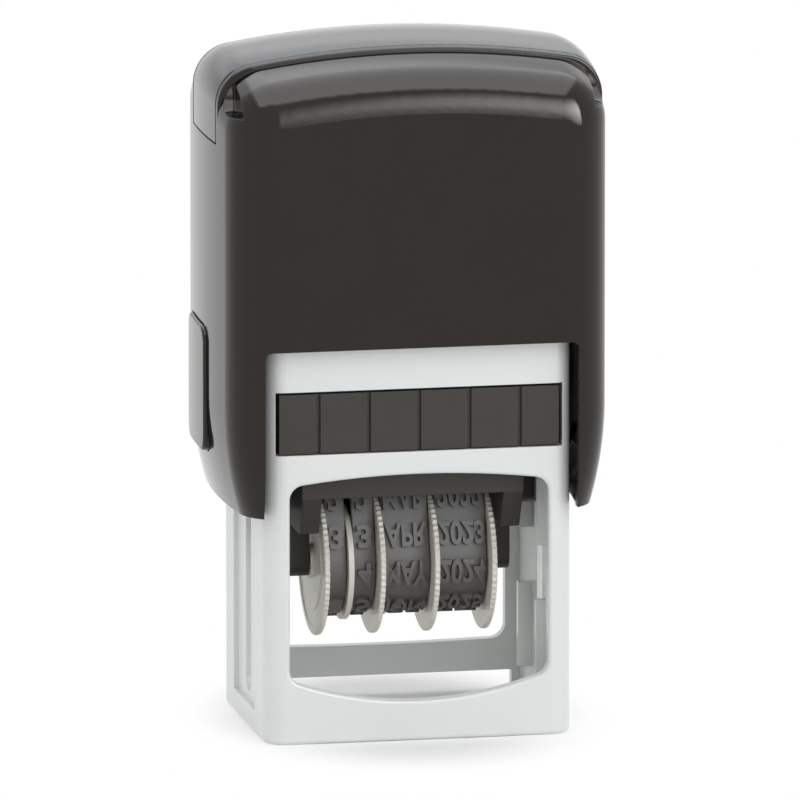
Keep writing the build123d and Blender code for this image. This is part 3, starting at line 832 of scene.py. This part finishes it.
def add_flat_frame(shape, outer, inner, low_z, high_z, edge):
    """Adds a frame between two rectangles, given as half sizes, with its upper edges bevelled."""
    side_z = high_z - edge
    section = (
        (outer, 0, low_z),
        (outer, 0, side_z),
        (outer, -edge, high_z),
        (inner, edge, high_z),
        (inner, 0, side_z),
        (inner, 0, low_z),
    )
    rings = []
    for side_x, side_y in ((1, 1), (-1, 1), (-1, -1), (1, -1)):
        ring = [(side_x * (half[0] + shift), side_y * (half[1] + shift), z) for half, shift, z in section]
        rings.append(ring)
    close_rings(shape, rings)


plate = bmesh.new()
floor_z = plate_low.z + PLATE_BASE
outer = (plate_high.x, plate_high.y)
add_flat_frame(plate, outer, (window_half_width, WINDOW_HALF_DEPTH), plate_low.z, floor_z, PLATE_EDGE)
outer = (outer[0] - BORDER_INSET, outer[1] - BORDER_INSET)
inner = (outer[0] - BORDER_WIDTH, outer[1] - BORDER_WIDTH)
add_flat_frame(plate, outer, inner, floor_z - PLATE_EDGE, plate_high.z, PLATE_EDGE)
for side in (-1, 1):
    bar_y = side * (inner[1] - BAR_WIDTH)
    low = Vector((BAR_INSET - inner[0], bar_y - BAR_WIDTH / 2, floor_z - PLATE_EDGE))
    high = Vector((inner[0] - BAR_INSET, bar_y + BAR_WIDTH / 2, plate_high.z))
    join_shape(plate, rounded_block(low, high, PLATE_EDGE, segments=2))
add_piece("engraved_plate", plate, "holder_body", "plate_rubber", "text_plate")

# %% [markdown]
# ## Floor and room
#
# The stamp stands on a sheet of white paper. The paper takes the stamp's soft shadow close to its front
# and back edges, and turns into a glow of exactly white further out, because in a product photograph the
# sheet is overexposed there. The squeeze lets the shadow end sooner at the stamp's sides than in front
# and behind. The room is white as well. What the camera, a reflection or a clear part sees of it is full
# white, but the light that it gives is a little less, so that the lamps can shape the stamp.

# %% Floor and room
FLOOR_SIZE = 4.0
SHADOW_SQUEEZE = (1.3, 1.0, 1.0)
SHADOW_REACH = (18 * MM, 38 * MM)
ROOM_LIGHT = 0.86
BACKDROP_LIGHT = 1.0
half = FLOOR_SIZE / 2
floor_mesh = bpy.data.meshes.new("floor")
corners = [(-half, -half, 0), (half, -half, 0), (half, half, 0), (-half, half, 0)]
floor_mesh.from_pydata(corners, [], [(0, 1, 2, 3)])
floor = bpy.data.objects.new("floor", floor_mesh)
scene.collection.objects.link(floor)
floor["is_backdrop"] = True


def seen_directly(tree):
    """One for rays from the camera, a reflection or through a clear part, and zero for the light itself."""
    rays = add_node(tree, "LightPath")
    seen = add_node(
        tree,
        "Math",
        {"operation": "MAXIMUM"},
        {0: rays.outputs["Is Camera Ray"], 1: rays.outputs["Is Glossy Ray"]},
    )
    return add_node(
        tree, "Math", {"operation": "MAXIMUM"}, {0: seen.outputs[0], 1: rays.outputs["Is Transmission Ray"]}
    )


white_paper, tree, place = start_material("white_paper")
squeezed = add_node(tree, "VectorMath", {"operation": "MULTIPLY", 1: SHADOW_SQUEEZE}, {0: place})
distance = add_node(tree, "VectorMath", {"operation": "LENGTH"}, {0: squeezed.outputs[0]})
away = add_node(
    tree,
    "MapRange",
    {"From Min": SHADOW_REACH[0], "From Max": SHADOW_REACH[1], "interpolation_type": "SMOOTHSTEP"},
    {"Value": distance.outputs["Value"]},
)
share = add_node(
    tree, "Math", {"operation": "MULTIPLY"}, {0: seen_directly(tree).outputs[0], 1: away.outputs[0]}
)
paper = add_node(tree, "BsdfDiffuse", {"Color": linear("FAFAFA")})
glow = add_node(tree, "Emission", {"Color": linear("FFFFFF"), "Strength": BACKDROP_LIGHT})
shader = add_node(tree, "MixShader", (), {0: share.outputs[0], 1: paper.outputs[0], 2: glow.outputs[0]})
add_node(tree, "OutputMaterial", (), {"Surface": shader.outputs[0]})
floor_mesh.materials.append(white_paper)

world = bpy.data.worlds.new("studio")
scene.world = world
world.use_nodes = True
tree = world.node_tree
tree.nodes.clear()
room = add_node(tree, "Background", {"Color": linear("FFFFFF"), "Strength": ROOM_LIGHT})
backdrop = add_node(tree, "Background", {"Color": linear("FFFFFF"), "Strength": BACKDROP_LIGHT})
mixed = add_node(
    tree, "MixShader", (), {0: seen_directly(tree).outputs[0], 1: room.outputs[0], 2: backdrop.outputs[0]}
)
add_node(tree, "OutputWorld", (), {"Surface": mixed.outputs[0]})
print("room light:", ROOM_LIGHT, "as seen:", BACKDROP_LIGHT)

# %% [markdown]
# ## Lamps
#
# A black glossy thing is lit by what it mirrors, so its lamps are chosen by where they show. A wide
# softbox overhead lies as a pale band on the cap's shoulder, stronger towards the front. A strip in front
# draws the thin line along the cap's upper edge. It gets brighter to the right, so that the line ends in
# a bright spot at the corner. A third softbox behind, of one even brightness, lights the strap's far
# edge. All three have soft edges and the faint blue of daylight. They are left out of the diffuse light,
# because the room gives enough of it: they are reflectors for the gloss. A key lamp in front on the right
# does the opposite and gives the matt parts a lighter and a darker side. Each lamp is placed by the
# direction that it shines from. Its power is worked out from how bright its face is, where 1 is as bright
# as the white room, and a graded face then says its own brightness from end to end.

# %% Lamps
LAMP_DISTANCE = 0.9
DAYLIGHT = "EFF4FC"
FACE_MIDDLE = 0.5
lamp_target = Vector((0, 0, 50 * MM))


def direction_from(azimuth, elevation):
    """A direction from two angles in degrees. Azimuth is 0 in front of the stamp and grows to its right."""
    azimuth, elevation = math.radians(azimuth), math.radians(elevation)
    level = math.cos(elevation)
    return Vector((math.sin(azimuth) * level, -math.cos(azimuth) * level, math.sin(elevation)))


def add_softbox(name, azimuth, elevation, width, height, brightness=1.0, for_gloss=True):
    """A studio lamp that shines on the stamp from a direction, for the gloss or for the matt parts."""
    towards = direction_from(azimuth, elevation)
    lamp = bpy.data.lights.new(name, "AREA")
    lamp.shape = "RECTANGLE"
    lamp.size, lamp.size_y = width, height
    lamp.energy = brightness * math.pi * width * height
    box = bpy.data.objects.new(name, lamp)
    scene.collection.objects.link(box)
    box.location = lamp_target + LAMP_DISTANCE * towards
    box.rotation_euler = (-towards).to_track_quat("-Z", "Y").to_euler()
    box.visible_diffuse = not for_gloss
    box.visible_glossy = for_gloss
    print(name, "power in W:", round(lamp.energy, 2))
    return lamp


def grade(lamp, along, start, end, soft_edges):
    """Grades a lamp's face from a start to an end along its X or Y, and fades it out towards its edges."""
    lamp.use_nodes = True
    tree = lamp.node_tree
    tree.nodes.clear()
    face = add_node(tree, "SeparateXYZ", (), {0: add_node(tree, "NewGeometry").outputs["Parametric"]})
    strength = add_node(tree, "MapRange", {"To Min": start, "To Max": end}, {"Value": face.outputs[along]})
    # Folding the face at its middle counts inwards from both edges.
    for axis, softness in soft_edges.items():
        inwards = add_node(tree, "Math", {"operation": "PINGPONG", 1: FACE_MIDDLE}, {0: face.outputs[axis]})
        fade = add_node(
            tree,
            "MapRange",
            {"From Max": softness, "interpolation_type": "SMOOTHSTEP"},
            {"Value": inwards.outputs[0]},
        )
        strength = add_node(
            tree, "Math", {"operation": "MULTIPLY"}, {0: strength.outputs[0], 1: fade.outputs[0]}
        )
    glow = add_node(tree, "Emission", {"Color": linear(DAYLIGHT)}, {"Strength": strength.outputs[0]})
    add_node(tree, "OutputLight", (), {"Surface": glow.outputs[0]})
    print(lamp.name, "graded from", start, "to", end)


overhead = add_softbox("softbox_top", azimuth=169, elevation=83, width=1.3, height=1.8)
grade(overhead, "Y", start=1.3, end=3.3, soft_edges={"X": 0.12, "Y": 0.14})
strip = add_softbox("strip_front", azimuth=25, elevation=17.5, width=0.7, height=0.95)
grade(strip, "X", start=0.9, end=15.0, soft_edges={"X": 0.06, "Y": FACE_MIDDLE})
behind = add_softbox("softbox_back", azimuth=169, elevation=38, width=1.6, height=0.9)
grade(behind, "Y", start=0.5, end=0.5, soft_edges={"X": 0.1, "Y": 0.3})
add_softbox("key_right", azimuth=35, elevation=35, width=0.6, height=0.6, brightness=1.35, for_gloss=False)

# %% [markdown]
# ## Camera
#
# The camera stands a little to the left of the stamp and a little above it, 3 m away with a long lens,
# which keeps the upright edges almost parallel, as product photographers like it.

# %% Camera
CAMERA_AZIMUTH, CAMERA_ELEVATION = -11.1, 11.3
CAMERA_DISTANCE = 3.0
PIXELS_PER_MM = 7.5
IMAGE_WIDTH = 800
FARTHEST_SEEN = 10
VIEW_TARGET_X, VIEW_TARGET_Z = 0.38 * MM, 43.1 * MM
view_target = Vector((VIEW_TARGET_X, 0, VIEW_TARGET_Z))
back = direction_from(CAMERA_AZIMUTH, CAMERA_ELEVATION)
camera_data = bpy.data.cameras.new("camera")
camera_data.lens = camera_data.sensor_width * CAMERA_DISTANCE / (IMAGE_WIDTH / PIXELS_PER_MM * MM)
camera_data.clip_end = FARTHEST_SEEN
camera = bpy.data.objects.new("camera", camera_data)
scene.collection.objects.link(camera)
camera.location = view_target + back * CAMERA_DISTANCE
camera.rotation_euler = (-back).to_track_quat("-Z", "Y").to_euler()
scene.camera = camera
scene.view_settings.view_transform = "Standard"
print("lens in mm:", round(camera_data.lens))

# %% [markdown]
# ## Check the size
#
# How much the dressed stamp's box has grown is printed. The dressed stamp has to fill the same space as
# the solids.

# %% Check the size
low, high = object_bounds()
grown = (high - low) - (solid_high - solid_low)
print("grown in mm:", [round(side / MM, 3) for side in grown])
